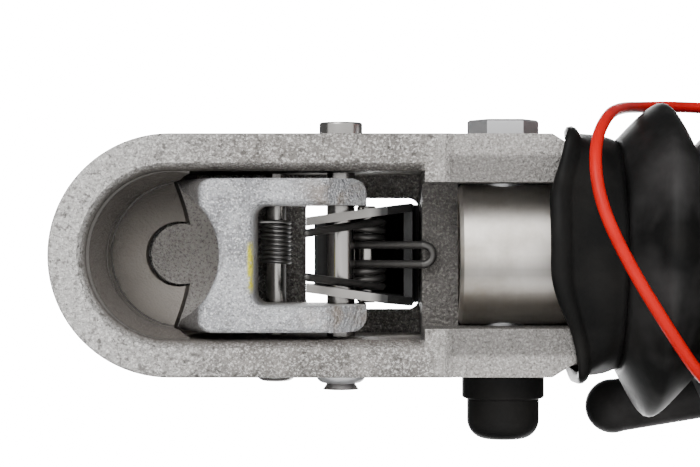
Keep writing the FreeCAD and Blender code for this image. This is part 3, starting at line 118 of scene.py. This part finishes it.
# Shared ways to make a surface
# Every surface is worked out from the place of a point on the object, in metres, so the numbers
# given to zone and aside are places along the axes of the part. The floor is the first to use it.
class Paint:
    """A principled surface that is put together from a few kinds of spots, grain and tints."""

    def __init__(self, name, color, rough, metal=0.0, specular=0.5):
        self.data = bpy.data.materials.new(name)
        self.data.use_nodes = True
        self.tree = self.data.node_tree
        self.shader = self.tree.nodes["Principled BSDF"]
        self.shader.inputs["Base Color"].default_value = (*color, 1)
        self.shader.inputs["Roughness"].default_value = rough
        self.shader.inputs["Metallic"].default_value = metal
        self.shader.inputs["Specular IOR Level"].default_value = specular
        self.place = self.tree.nodes.new("ShaderNodeTexCoord").outputs["Object"]
        self.color = None
        self.base = color
        self.height = None

    def link(self, out, into):
        """Join two sockets."""
        self.tree.links.new(out, into)

    def noise(self, scale, detail=3.0, rough=0.5, stretch=None):
        """Cloudy pattern with scale spots per metre, drawn out along an axis by stretch."""
        node = self.tree.nodes.new("ShaderNodeTexNoise")
        node.inputs["Scale"].default_value = scale
        node.inputs["Detail"].default_value = detail
        node.inputs["Roughness"].default_value = rough
        place = self.place
        if stretch:
            mapping = self.tree.nodes.new("ShaderNodeMapping")
            mapping.inputs["Scale"].default_value = stretch
            self.link(self.place, mapping.inputs["Vector"])
            place = mapping.outputs["Vector"]
        self.link(place, node.inputs["Vector"])
        return node.outputs["Fac"]

    def ramp(self, value, low, high):
        """0 at low and 1 at high, held at those beyond them."""
        node = self.tree.nodes.new("ShaderNodeMapRange")
        node.inputs["From Min"].default_value = low
        node.inputs["From Max"].default_value = high
        self.link(value, node.inputs["Value"])
        return node.outputs["Result"]

    def along(self, letter):
        """The place along one axis."""
        node = self.tree.nodes.new("ShaderNodeSeparateXYZ")
        self.link(self.place, node.inputs["Vector"])
        return node.outputs[letter]

    def aside(self, end):
        """Level distance from the middle line, which runs from the rear to x = end."""
        past = self.tree.nodes.new("ShaderNodeMath")
        past.operation = "SUBTRACT"
        past.inputs[1].default_value = end
        self.link(self.along("X"), past.inputs[0])
        ahead = self.tree.nodes.new("ShaderNodeMath")
        ahead.operation = "MAXIMUM"
        ahead.inputs[1].default_value = 0.0
        self.link(past.outputs["Value"], ahead.inputs[0])
        level = self.tree.nodes.new("ShaderNodeCombineXYZ")
        self.link(ahead.outputs["Value"], level.inputs["X"])
        self.link(self.along("Y"), level.inputs["Y"])
        size = self.tree.nodes.new("ShaderNodeVectorMath")
        size.operation = "LENGTH"
        self.link(level.outputs["Vector"], size.inputs[0])
        return size.outputs["Value"]

    def zone(self, letter, low, high):
        """0 before low and 1 after high along one axis; low may be the greater one."""
        return self.ramp(self.along(letter), low, high)

    def times(self, first, second):
        """Product of two values, of which the second may be a plain number."""
        node = self.tree.nodes.new("ShaderNodeMath")
        node.operation = "MULTIPLY"
        for value, socket in zip((first, second), node.inputs):
            if isinstance(value, float):
                socket.default_value = value
            else:
                self.link(value, socket)
        return node.outputs["Value"]

    def tint(self, color, amount):
        """Mix another color over what is there, as far as amount says."""
        node = self.tree.nodes.new("ShaderNodeMix")
        node.data_type = "RGBA"
        sockets = [socket for socket in node.inputs if socket.type == "RGBA"]
        if self.color is None:
            sockets[0].default_value = (*self.base, 1)
        else:
            self.link(self.color, sockets[0])
        sockets[1].default_value = (*color, 1)
        self.link(amount, node.inputs["Factor"])
        self.color = [socket for socket in node.outputs if socket.type == "RGBA"][0]
        self.link(self.color, self.shader.inputs["Base Color"])

    def bumps(self, value, strength, depth):
        """Raise the surface by value times depth, on top of earlier bumps."""
        node = self.tree.nodes.new("ShaderNodeBump")
        node.inputs["Strength"].default_value = strength
        node.inputs["Distance"].default_value = depth
        self.link(value, node.inputs["Height"])
        if self.height:
            self.link(self.height, node.inputs["Normal"])
        self.height = node.outputs["Normal"]
        self.link(self.height, self.shader.inputs["Normal"])

    def rough(self, value, low, high):
        """Roughness that goes from low to high with value."""
        node = self.tree.nodes.new("ShaderNodeMapRange")
        node.inputs["To Min"].default_value = low
        node.inputs["To Max"].default_value = high
        self.link(value, node.inputs["Value"])
        self.link(node.outputs["Result"], self.shader.inputs["Roughness"])


def wear(paint, *names):
    """Give a surface to CAD nodes."""
    for name in names:
        thing = nodes[name]
        thing.data.materials.clear()
        thing.data.materials.append(paint.data)


floor_paint = Paint("pale_floor", (0.86, 0.86, 0.85), 0.8)
floor.data.materials.append(floor_paint.data)

# Coupling head
# Blasted and galvanised casting: grey with a pebbly grain and dark specks, and browner and darker deep
# inside, the darkness being painted shade, as is the dark sill in front of the tube. Outside it stays
# light all the way up.
CUP_SHADE = (0.02, 0.017, 0.014)
PIT_DARK = (0.06, 0.054, 0.048)
NOSE_X = 0.3727
head_paint = Paint("head_casting", (0.15, 0.14, 0.13), 0.55, 0.15)
head_paint.tint((0.25, 0.235, 0.22), head_paint.ramp(head_paint.noise(90, 6, 0.65), 0.40, 0.60))
head_nose = head_paint.zone("X", 0.345, 0.40)
head_paint.tint((0.50, 0.49, 0.48), head_paint.times(head_nose, 0.7))
head_rear = head_paint.zone("X", 0.290, 0.262)
head_paint.tint((0.45, 0.43, 0.41), head_paint.times(head_rear, 0.6))
head_grain = head_paint.ramp(head_paint.noise(1300, 3, 0.7), 0.50, 0.62)
head_paint.tint((0.85, 0.83, 0.81), head_paint.times(head_grain, 0.6))
head_pits = head_paint.ramp(head_paint.noise(1100, 3, 0.7), 0.47, 0.36)
head_paint.tint(PIT_DARK, head_paint.times(head_pits, 0.6))
head_specks = head_paint.ramp(head_paint.noise(480, 2), 0.58, 0.68)
head_paint.tint((0.035, 0.03, 0.026), head_paint.times(head_specks, 0.6))
# Inside the cup and the clamp pocket: painted shade where the rim turns in, lighter further up.
head_inside = head_paint.ramp(head_paint.aside(NOSE_X), 0.0350, 0.0335)
head_inside = head_paint.times(head_inside, head_paint.zone("Z", 0.1045, 0.1035))
head_shaded_ring = head_paint.times(head_inside, head_paint.zone("Z", 0.0450, 0.0488))
head_paint.tint((0.06, 0.051, 0.044), head_paint.times(head_shaded_ring, 0.92))
head_cup = head_paint.times(head_inside, head_paint.zone("Z", 0.064, 0.092))
head_paint.tint((0.36, 0.33, 0.30), head_paint.times(head_cup, 0.85))
head_shade = head_paint.times(head_shaded_ring, head_paint.zone("Y", -0.004, 0.021))
head_paint.tint(CUP_SHADE, head_paint.times(head_shade, 0.75))
# Narrow ledges in the cup are darkened with painted shade: height and amount of each.
LEDGES = ((0.0492, 0.86), (0.0640, 0.90), (0.0730, 0.90))
LEDGE_OUT = 0.0006
LEDGE_IN = 0.0001
for ledge, ledge_shade in LEDGES:
    head_edge = head_paint.times(head_paint.zone("Z", ledge - LEDGE_OUT, ledge - LEDGE_IN),
                                 head_paint.zone("Z", ledge + LEDGE_OUT, ledge + LEDGE_IN))
    head_edge = head_paint.times(head_edge, head_paint.zone("X", 0.335, 0.345))
    head_edge = head_paint.times(head_edge, head_inside)
    head_paint.tint(CUP_SHADE, head_paint.times(head_edge, ledge_shade))
# The rear step of the rim lies within the ring of painted shade, so it is made light again.
head_step = head_paint.times(head_paint.zone("X", 0.283, 0.280),
                             head_paint.zone("Z", 0.0482, 0.0477))
head_paint.tint((0.30, 0.285, 0.27), head_step)
step_grain = head_paint.times(head_step, head_grain)
head_paint.tint((0.75, 0.73, 0.71), head_paint.times(step_grain, 0.5))
step_pits = head_paint.times(head_step, head_pits)
head_paint.tint(PIT_DARK, head_paint.times(step_pits, 0.6))
# A light roof over the pocket, painted shade on the sill in front of the tube, and glints on both.
head_roof = head_paint.times(head_cup, head_paint.zone("X", 0.336, 0.326))
head_paint.tint((0.62, 0.59, 0.56), head_paint.times(head_roof, 0.75))
head_sill_shade = head_paint.times(head_shaded_ring, head_paint.zone("X", 0.292, 0.286))
head_paint.tint((0.05, 0.047, 0.044), head_paint.times(head_sill_shade, 0.85))
head_glints = head_paint.times(head_paint.zone("X", 0.336, 0.326), head_grain)
head_glints = head_paint.times(head_glints, head_shaded_ring)
head_paint.tint((0.30, 0.28, 0.26), head_paint.times(head_glints, 0.4))
# The cup is smoother, so the pebbles fade there.
head_smooth = head_paint.times(head_shaded_ring, head_paint.zone("X", 0.335, 0.345))
head_pebbles = head_paint.times(head_paint.noise(800, 3, 0.6), head_paint.ramp(head_smooth, 1.15, 0.0))
head_paint.bumps(head_pebbles, 1.0, 0.0026)
head_paint.bumps(head_paint.noise(110, 2), 0.35, 0.0014)
wear(head_paint, "coupling_head")

# Ball clamp
# A brighter, bluish casting that stands out from the head, brown near the pivot, with painted shade on
# its deeper parts and a curved front dark from rough casting and painted shade, with a dab of yellow
# marking paint on the front wall of its window.
clamp_paint = Paint("clamp_casting", (0.22, 0.223, 0.235), 0.48, 0.25)
clamp_paint.tint((0.36, 0.365, 0.38), clamp_paint.ramp(clamp_paint.noise(75, 5, 0.6), 0.42, 0.60))
clamp_grain = clamp_paint.ramp(clamp_paint.noise(1300, 3, 0.7), 0.52, 0.64)
clamp_paint.tint((0.90, 0.90, 0.92), clamp_paint.times(clamp_grain, 0.6))
# Painted shade, browner and darker, on the deeper parts of the clamp.
clamp_deep_shade = clamp_paint.zone("Z", 0.055, 0.085)
clamp_paint.tint((0.36, 0.335, 0.31), clamp_paint.times(clamp_deep_shade, 0.8))
# Dark rough casting with painted shade on the curved front under the ball.
clamp_front_cast_and_shade = clamp_paint.times(clamp_paint.zone("Z", 0.0446, 0.0468),
                                clamp_paint.zone("X", 0.3505, 0.3545))
clamp_front_cast_and_shade = clamp_paint.times(clamp_front_cast_and_shade, clamp_paint.zone("Z", 0.092, 0.070))
clamp_paint.tint((0.055, 0.05, 0.046), clamp_paint.times(clamp_front_cast_and_shade, 0.92))
clamp_brown = clamp_paint.times(clamp_paint.zone("X", 0.334, 0.318),
                                clamp_paint.ramp(clamp_paint.noise(110, 4, 0.6), 0.46, 0.62))
clamp_paint.tint((0.20, 0.14, 0.085), clamp_paint.times(clamp_brown, 0.55))
clamp_pits = clamp_paint.ramp(clamp_paint.noise(1100, 3, 0.7), 0.48, 0.37)
clamp_paint.tint((0.07, 0.065, 0.06), clamp_paint.times(clamp_pits, 0.6))
dab_wide = clamp_paint.times(clamp_paint.zone("Y", -0.0135, -0.0105),
                             clamp_paint.zone("Y", 0.0055, 0.002))
dab_long = clamp_paint.times(clamp_paint.zone("X", 0.3464, 0.3456),
                             clamp_paint.zone("X", 0.3425, 0.3435))
dab_long = clamp_paint.times(dab_long, clamp_paint.ramp(clamp_paint.noise(300, 3), 0.36, 0.48))
dab_long = clamp_paint.times(dab_long, clamp_paint.zone("Z", 0.057, 0.053))
clamp_paint.tint((0.55, 0.50, 0.03), clamp_paint.times(dab_wide, dab_long))
clamp_paint.bumps(clamp_paint.noise(760, 3, 0.6), 1.0, 0.0020)
wear(clamp_paint, "ball_clamp")

# Pins, springs and zinc plated pieces
# Pins are bright steel; the double spring and the circlips are dark and oily, the thin spring is
# lighter. Fasteners, levers, rollers and the cylinder of the damper are zinc plated.
pin_paint = Paint("bright_steel", (0.30, 0.29, 0.28), 0.28, 1.0)
pin_paint.rough(pin_paint.noise(400, 3, stretch=(1, 0.08, 1)), 0.10, 0.30)
wear(pin_paint, "pivot_pin", "catch_pin", "spring_pin", "roller_pin", "lever_shaft", "pawl_pin",
     "damper_rod")
spring_paint = Paint("spring_steel", (0.05, 0.048, 0.046), 0.4, 0.7, 0.3)
spring_paint.rough(spring_paint.noise(300, 3), 0.28, 0.5)
wear(spring_paint, "handle_spring", "left_circlip", "right_circlip")
coil_paint = Paint("thin_spring_steel", (0.20, 0.195, 0.19), 0.3, 0.9)
wear(coil_paint, "clamp_spring")
zinc_paint = Paint("zinc", (0.42, 0.42, 0.43), 0.38, 0.85)
zinc_paint.rough(zinc_paint.noise(260, 4), 0.3, 0.55)
wear(zinc_paint, "pivot_washer", "tube_bolt", "tube_nut", "sector_bolt_1", "sector_bolt_2", "damper_pin",
     "cable_stud", "cable_ferrule", "snap_hook", "left_roller", "right_roller", "damper_piston",
     "damper_cylinder", "bellows_clip", "cable_eye", "ratchet_pawl", "ratchet_sector", "overrun_lever",
     "lever_spacer", "handbrake_lever", "handbrake_tube")

# Double spring
# A copy of the CAD spring. Its loop stays on the bulkhead of the head while the coils turn with
# the handle, so the long straight wires get points along them.
LONG_EDGE = 4 * MM
wound = bpy.data.objects.new("wound_spring", nodes["handle_spring"].data.copy())
bpy.context.scene.collection.objects.link(wound)
wound.data.transform(nodes["handle_spring"].matrix_world)
bpy.ops.object.select_all(action="DESELECT")
wound.select_set(True)
bpy.context.view_layer.objects.active = wound
bpy.ops.object.mode_set(mode="EDIT")
bpy.ops.mesh.select_all(action="SELECT")
bpy.ops.mesh.remove_doubles(threshold=0.002 * MM)
bpy.ops.mesh.select_mode(type="EDGE")
bpy.ops.mesh.select_all(action="DESELECT")
bpy.ops.object.mode_set(mode="OBJECT")
spots = wound.data.vertices
for edge in wound.data.edges:
    first, last = edge.vertices
    edge.select = (spots[first].co - spots[last].co).length > LONG_EDGE
bpy.ops.object.mode_set(mode="EDIT")
bpy.ops.mesh.subdivide(number_cuts=9)
bpy.ops.mesh.select_mode(type="VERT")
bpy.ops.object.mode_set(mode="OBJECT")
bpy.ops.object.shade_smooth()
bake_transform(wound)
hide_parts("handle_spring")

# Release handle
# Black-coated sheet, made darker than its coating as painted shade, whose lower edges are lighter in
# front, and a black plastic grip on top with a fine skin. The gland of the damper is of the same plastic.
handle_paint = Paint("handle_sheet", (0.012, 0.012, 0.012), 0.5, 0.1, 0.3)
handle_edge = handle_paint.times(handle_paint.zone("Z", 0.0656, 0.0652),
                                 handle_paint.zone("X", 0.300, 0.304))
handle_paint.tint((0.24, 0.23, 0.22), handle_edge)
wear(handle_paint, "release_handle")
plastic_paint = Paint("black_plastic", (0.025, 0.025, 0.026), 0.5)
plastic_paint.bumps(plastic_paint.noise(900, 2), 0.15, 0.0003)
wear(plastic_paint, "handle_grip", "damper_gland")

# Draw tube, nut cap and handbrake grip
# Satin ground tube with faint marks around it and stains, a painted dark reflection along its underside
# and a painted brownish reflection below that. The nut cap and the handbrake grip are of the same black
# rubber as the bellows, which is lighter on its folds, worn and with a painted sheen.
tube_paint = Paint("ground_tube", (0.55, 0.52, 0.485), 0.36, 0.95)
tube_paint.rough(tube_paint.noise(60, 5, 0.6, stretch=(14, 1, 1)), 0.36, 0.60)
tube_paint.tint((0.36, 0.33, 0.29), tube_paint.ramp(tube_paint.noise(30, 5, 0.65), 0.46, 0.66))
# Painted dark reflection along the underside, and a painted brownish reflection further down.
tube_below = tube_paint.zone("Z", 0.068, 0.060)
tube_dark_reflection = tube_paint.times(tube_paint.zone("Y", -0.0125, -0.0070),
                              tube_paint.zone("Y", 0.0005, -0.0050))
tube_dark_reflection = tube_paint.times(tube_paint.times(tube_dark_reflection, tube_below), 0.75)
tube_paint.tint((0.13, 0.125, 0.12), tube_dark_reflection)
tube_brown_reflection = tube_paint.times(tube_paint.zone("Y", -0.010, -0.017), tube_below)
tube_paint.tint((0.22, 0.19, 0.16), tube_paint.times(tube_brown_reflection, 0.75))
wear(tube_paint, "draw_tube")
rubber_paint = Paint("black_rubber", (0.004, 0.004, 0.004), 0.48, 0.0, 0.05)
rubber_paint.tint((0.008, 0.0075, 0.007), rubber_paint.ramp(rubber_paint.noise(45, 5), 0.45, 0.7))
# The folds are lighter, worn and with a painted sheen.
rubber_worn_and_sheen = rubber_paint.times(rubber_paint.zone("X", 0.221, 0.210),
                                 rubber_paint.ramp(rubber_paint.noise(38, 3), 0.38, 0.62))
rubber_paint.tint((0.022, 0.021, 0.021), rubber_worn_and_sheen)
rubber_paint.bumps(rubber_paint.noise(700, 3), 0.12, 0.0003)
wear(rubber_paint, "nut_cap", "handbrake_grip")

# Housing with bushes and nipples
# The same casting as the head but smoother, with bronze bushes for the tube and brass grease
# nipples on top.
housing_paint = Paint("housing_casting", (0.17, 0.16, 0.15), 0.55, 0.15)
housing_paint.tint((0.28, 0.265, 0.25), housing_paint.ramp(housing_paint.noise(45, 5, 0.6), 0.42, 0.62))
housing_grain = housing_paint.ramp(housing_paint.noise(900, 3, 0.7), 0.50, 0.62)
housing_paint.tint((0.58, 0.56, 0.54), housing_paint.times(housing_grain, 0.4))
housing_paint.bumps(housing_paint.noise(600, 3, 0.6), 0.55, 0.0006)
wear(housing_paint, "housing")
bronze_paint = Paint("bronze", (0.42, 0.29, 0.15), 0.4, 0.9)
wear(bronze_paint, "front_bush", "rear_bush")
brass_paint = Paint("brass", (0.62, 0.47, 0.2), 0.35, 0.95)
wear(brass_paint, "front_nipple", "rear_nipple")


# Bellows
# A front collar with a lip that goes with the head, four soft folds, and a rear collar on the
# barrel. The folds lean a little and one is dented.
FOLD_FRONT = 217 * MM
FOLD_REAR = 106 * MM
FOLD_COUNT = 4
FOLD_PITCH = (FOLD_FRONT - FOLD_REAR) / FOLD_COUNT
PEAK = 55.8 * MM
VALLEY = 40.5 * MM
RUBBER = 2.0 * MM


def turned(name, profile, steps=112):
    """Wall turned about the draw axis from a line of points (x, radius)."""
    bpy.ops.object.select_all(action="DESELECT")
    bpy.ops.mesh.primitive_plane_add(size=0.01, location=(0, 0, 0))
    thing = bpy.context.object
    thing.name = name
    bpy.ops.object.mode_set(mode="EDIT")
    bpy.ops.mesh.select_all(action="SELECT")
    bpy.ops.mesh.merge(type="CENTER")
    here = Vector((0, 0, 0))
    for number, (x, rad) in enumerate(profile):
        there = Vector((x, 0, AXIS_Z + rad))
        if number == 0:
            bpy.ops.transform.translate(value=there - here)
        else:
            bpy.ops.mesh.extrude_region_move(TRANSFORM_OT_translate={"value": there - here})
        here = there
    bpy.ops.mesh.select_all(action="SELECT")
    bpy.ops.mesh.spin(steps=steps, angle=2 * math.pi, center=(0, 0, AXIS_Z), axis=(1, 0, 0))
    bpy.ops.mesh.select_all(action="SELECT")
    bpy.ops.mesh.remove_doubles(threshold=0.01 * MM)
    bpy.ops.mesh.normals_make_consistent(inside=False)
    bpy.ops.object.mode_set(mode="OBJECT")
    return thing


def thicken(thing, thick):
    """Give a wall its thickness inwards and smooth it."""
    solidify = thing.modifiers.new("thick", "SOLIDIFY")
    solidify.thickness = thick
    solidify.offset = -1
    bpy.context.view_layer.objects.active = thing
    bpy.ops.object.modifier_apply(modifier="thick")
    bpy.ops.object.shade_smooth()


def fold_line():
    """Peaks are narrow and valleys wide, with hollow flanks between them."""
    line = []
    parts = 20
    blunt = 0.30
    for step in range(FOLD_COUNT * parts + 1):
        share = step / parts
        from_peak = abs(2 * (share % 1.0) - 1)
        slope = (math.hypot(1, blunt) - math.hypot(from_peak, blunt)) / (math.hypot(1, blunt) - blunt)
        rad = VALLEY + (PEAK - VALLEY) * slope
        line.append((FOLD_FRONT - FOLD_PITCH * share, rad))
    return line


def shape_folds(thing):
    """Lean, sag and dent the folds; the ends stay where the collars meet them."""
    lean_most = -4.2 * MM
    sag_most = -3.2 * MM
    ripple_out = 1.1 * MM
    ripple_along = 1.5 * MM
    dent_deep = 2.6 * MM
    dent_wide = 4.5 * MM
    dent_a = Vector((0.206, 0.033, 0.038))
    dent_b = Vector((0.215, 0.013, 0.034))
    run = dent_b - dent_a
    for vertex in thing.data.vertices:
        place = vertex.co
        share = (FOLD_FRONT - place.x) / (FOLD_FRONT - FOLD_REAR)
        middle = math.sin(math.pi * min(max(share, 0), 1)) ** 0.5
        out = Vector((0, place.y, place.z - AXIS_Z))
        height = (out.length - VALLEY) / (PEAK - VALLEY)
        side = out.y / out.length
        lean = lean_most * side * height * middle
        sag = sag_most * middle
        ripple = noise.noise(Vector((place.x * 40, math.atan2(out.z, out.y) * 1.7, 3.1)))
        along = min(max((place - dent_a).dot(run) / run.dot(run), 0), 1)
        away = (place - dent_a - run * along).length
        dent = dent_deep * math.exp(-((away / dent_wide) ** 2))
        grow = out.normalized() * (ripple * ripple_out * height * middle - dent)
        vertex.co = place + Vector((lean + ripple * ripple_along * height * middle, sag, 0)) + grow


def eased(value, low, high):
    """0 below low, 1 above high and a soft rise between them."""
    share = min(max((value - low) / (high - low), 0), 1)
    return share * share * (3 - 2 * share)


def pull_lip(thing):
    """The lip reaches further forward below the head, less on its right side, and stretches
    around the lower corners of the head, which is a box in section. Lengths that are not places
    are in mm; turn is the angle from straight down, in degrees."""
    half_wide = 39.8
    half_high = 32.0
    square = 14
    seat = 39.6
    most = 10.5
    lip_rear = 219 * MM
    lip_long = 14 * MM
    for vertex in thing.data.vertices:
        place = vertex.co
        out = Vector((0, place.y, place.z - AXIS_Z))
        turn = math.degrees(math.atan2(abs(out.y), -out.z))
        share = min(max((place.x - lip_rear) / lip_long, 0), 1)
        forward = most - most * eased(turn, 5, 54)
        if out.y > 0:
            forward = most - 6.5 * eased(turn, 26, 56) - 4 * eased(turn, 56, 110)
        bulge = 0.0
        if out.z < 0:
            across = abs(out.y) / out.length / half_wide
            down = -out.z / out.length / half_high
            bulge = max((across ** square + down ** square) ** (-1 / square) - seat, 0)
        vertex.co = place + out.normalized() * (bulge * MM * share)
        vertex.co.x = place.x + forward * MM * share


lip_line = [(233.0, 40.2), (233.3, 43.0), (232.6, 44.8), (231.2, 45.4), (229.8, 44.8), (229.2, 43.4),
            (228.4, 42.8), (224.6, 42.6), (221.5, 42.2), (219.0, 41.4), (217.0, 40.5)]
front_collar = turned("bellows_front", [(x * MM, rad * MM) for x, rad in lip_line])
pull_lip(front_collar)
thicken(front_collar, RUBBER * 0.4)
folds = turned("bellows_folds", fold_line())
shape_folds(folds)
thicken(folds, RUBBER)
rear_line = [(106.0, 40.5), (104.5, 39.6), (103.0, 38.6), (100.0, 38.3), (86.0, 38.3), (84.5, 38.0),
             (84.0, 37.0)]
rear_collar = turned("bellows_rear", [(x * MM, rad * MM) for x, rad in rear_line])
thicken(rear_collar, RUBBER * 0.5)
for collar in (front_collar, folds, rear_collar):
    collar.data.materials.append(rubber_paint.data)
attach(front_collar, "head")
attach(rear_collar, "housing")
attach(folds, "housing")
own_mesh(folds)
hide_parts("bellows")

# Breakaway cable
# Red covered wire from the eye on the handbrake lever, under the bellows and back along the
# left side to the snap hook.
CABLE_ROUTE = [
    (-73, -57.5, 36), (-20, -58.5, 38), (36, -60, 45), (90, -61.5, 53), (140, -61.5, 57), (172, -56.5, 53),
    (192, -43, 36), (207, -23, 22), (221, -1, 17), (229.5, 19, 21), (230, 37, 30), (223, 48.5, 50),
    (214, 52.5, 80), (204, 54, 104), (190, 55, 115), (168, 54, 119.5), (140, 51, 119), (106, 47, 117),
    (62, 41.5, 113), (22, 38, 112),
]
CABLE_DIA = 4.2 * MM


def spline(name, bevel):
    """Smooth curve through the route, as a line or with a round section."""
    data = bpy.data.curves.new(name, "CURVE")
    data.dimensions = "3D"
    data.bevel_depth = bevel
    data.bevel_resolution = 5
    data.use_fill_caps = bevel > 0
    line = data.splines.new("NURBS")
    line.points.add(len(CABLE_ROUTE) - 1)
    for point, place in zip(line.points, CABLE_ROUTE):
        point.co = (place[0] * MM, place[1] * MM, place[2] * MM, 1)
    line.order_u = 3
    line.use_endpoint_u = True
    line.resolution_u = 10
    return bpy.data.objects.new(name, data)


bare = spline("cable_line", 0)
bpy.context.scene.collection.objects.link(bare)
cable_line = bpy.data.meshes.new_from_object(bare)
bpy.data.objects.remove(bare)
round_wire = spline("cable_round", CABLE_DIA / 2)
bpy.context.scene.collection.objects.link(round_wire)
cable_mesh = bpy.data.meshes.new_from_object(round_wire)
bpy.data.objects.remove(round_wire)
cable = bpy.data.objects.new("red_cable", cable_mesh)
bpy.context.scene.collection.objects.link(cable)
for face in cable_mesh.polygons:
    face.use_smooth = True
red_paint = Paint("red_pvc", (0.40, 0.002, 0.001), 0.4, 0.0, 0.12)
red_paint.tint((0.30, 0.001, 0.001), red_paint.ramp(red_paint.noise(60, 3), 0.5, 0.75))
cable_mesh.materials.clear()
cable_mesh.materials.append(red_paint.data)
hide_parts("breakaway_cable")
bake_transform(cable)
